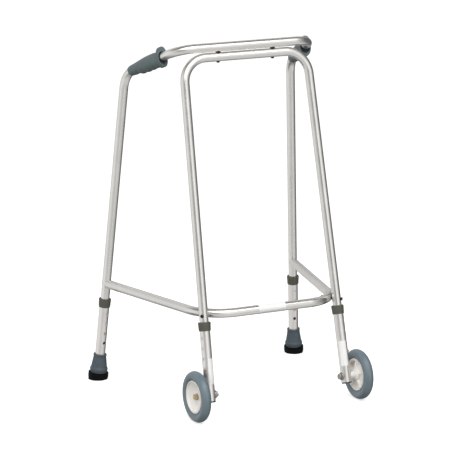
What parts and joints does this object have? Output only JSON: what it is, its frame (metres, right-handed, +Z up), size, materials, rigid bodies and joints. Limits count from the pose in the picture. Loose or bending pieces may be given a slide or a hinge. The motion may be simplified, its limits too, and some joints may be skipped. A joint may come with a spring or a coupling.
{
  "type": "walking frame",
  "caption": "Bent-tube wheeled walking frame with sloped moulded grips, a lower brace, sliding leg extensions with snap buttons, rubber ferrules at the rear and wheels at the front.",
  "frame": {"origin": "on the floor, in the middle of the frame's length and width", "axes": "+Z up, -Y the way the user walks, where the wheels are, +X to the right in a view along +Y"},
  "size_m": [0.6156, 0.5287, 0.8839],
  "materials": {
    "frame_tube": "satin anodised",
    "extension_tube": "matt anodised",
    "steel": "zinc plated",
    "bolt": "blackened steel",
    "brass": "passivated",
    "grip": "moulded, matt grey",
    "collar": "moulded, dark grey-green",
    "ferrule": "moulded, matt slate grey",
    "ferrule_base": "moulded, matt black",
    "tyre": "moulded, grey",
    "hub": "moulded, off-white",
    "black_plastic": "moulded, black"
  },
  "bodies": {
    "frame": {"brace_end_plug_left": "black_plastic", "brace_end_plug_right": "black_plastic", "brace_front_bolt_left": "bolt", "brace_front_bolt_right": "bolt", "brace_front_nut_left": "steel", "brace_front_nut_right": "steel", "brace_rear_bolt_left": "bolt", "brace_rear_bolt_right": "bolt", "crossbar_bolt_left": "bolt", "crossbar_bolt_right": "bolt", "crossbar_nut_left": "steel", "crossbar_nut_right": "steel", "crossbar_spacer_left": "black_plastic", "crossbar_spacer_right": "black_plastic", "front_leg_tube": "frame_tube", "grip_left": "grip", "grip_right": "grip", "handle_tube": "frame_tube", "lower_brace": "frame_tube", "snap_spring_front_left": "steel", "snap_spring_front_right": "steel", "snap_spring_rear_left": "steel", "snap_spring_rear_right": "steel"},
    "leg_front_left": {"axle_bolt_left": "steel", "axle_nut_left": "brass", "axle_saddle_left": "steel", "axle_spacer_left": "hub", "axle_washer_left": "steel", "collar_front_left": "collar", "leg_end_plug_left": "black_plastic", "leg_extension_front_left": "extension_tube"},
    "leg_front_right": {"axle_bolt_right": "steel", "axle_nut_right": "brass", "axle_saddle_right": "steel", "axle_spacer_right": "hub", "axle_washer_right": "steel", "collar_front_right": "collar", "leg_end_plug_right": "black_plastic", "leg_extension_front_right": "extension_tube"},
    "leg_rear_left": {"collar_rear_left": "collar", "ferrule_base_left": "ferrule_base", "ferrule_body_left": "ferrule", "ferrule_washer_left": "steel", "leg_extension_rear_left": "extension_tube"},
    "leg_rear_right": {"collar_rear_right": "collar", "ferrule_base_right": "ferrule_base", "ferrule_body_right": "ferrule", "ferrule_washer_right": "steel", "leg_extension_rear_right": "extension_tube"},
    "wheel_left": {"hub_bush_left": "steel", "tyre_left": "tyre", "wheel_hub_left": "hub"},
    "wheel_right": {"hub_bush_right": "steel", "tyre_right": "tyre", "wheel_hub_right": "hub"},
    "button_front_left": {"snap_button_front_left": "brass"},
    "button_front_right": {"snap_button_front_right": "brass"},
    "button_rear_left": {"snap_button_rear_left": "brass"},
    "button_rear_right": {"snap_button_rear_right": "brass"}
  },
  "joints": [
    {"name": "leg_rear_left_height", "type": "slide", "parent": "frame", "child": "leg_rear_left", "axis": [-0.0649, 0.0701, -0.9954], "range_m": [-0.0254, 0.0508], "deforming": ["snap_button_rear_left"]},
    {"name": "leg_rear_right_height", "type": "slide", "parent": "frame", "child": "leg_rear_right", "axis": [0.0649, 0.0701, -0.9954], "range_m": [-0.0254, 0.0508], "deforming": ["snap_button_rear_right"]},
    {"name": "leg_front_left_height", "type": "slide", "parent": "frame", "child": "leg_front_left", "axis": [-0.0232, -0.2346, -0.9718], "range_m": [0, 0.0762], "deforming": ["snap_button_front_left"]},
    {"name": "leg_front_right_height", "type": "slide", "parent": "frame", "child": "leg_front_right", "axis": [0.0232, -0.2346, -0.9718], "range_m": [0, 0.0762], "deforming": ["snap_button_front_right"]},
    {"name": "button_rear_left_press", "type": "slide", "parent": "frame", "child": "button_rear_left", "axis": [-0.2191, 0.9722, 0.0828], "range_m": [0, 0.0045], "stiffness_N_per_m": 2000, "springref_m": -0.001},
    {"name": "button_rear_right_press", "type": "slide", "parent": "frame", "child": "button_rear_right", "axis": [0.2191, 0.9722, 0.0828], "range_m": [0, 0.0045], "stiffness_N_per_m": 2000, "springref_m": -0.001},
    {"name": "button_front_left_press", "type": "slide", "parent": "frame", "child": "button_front_left", "axis": [0.8536, 0.5014, -0.1414], "range_m": [0, 0.0045], "stiffness_N_per_m": 2000, "springref_m": -0.001},
    {"name": "button_front_right_press", "type": "slide", "parent": "frame", "child": "button_front_right", "axis": [-0.8536, 0.5014, -0.1414], "range_m": [0, 0.0045], "stiffness_N_per_m": 2000, "springref_m": -0.001},
    {"name": "wheel_left_spin", "type": "hinge", "parent": "leg_front_left", "child": "wheel_left", "pos_m": [-0.2234, -0.202, 0.0625], "axis": [1, 0, 0], "continuous": true},
    {"name": "wheel_right_spin", "type": "hinge", "parent": "leg_front_right", "child": "wheel_right", "pos_m": [0.2234, -0.202, 0.0625], "axis": [1, 0, 0], "continuous": true}
  ]
}
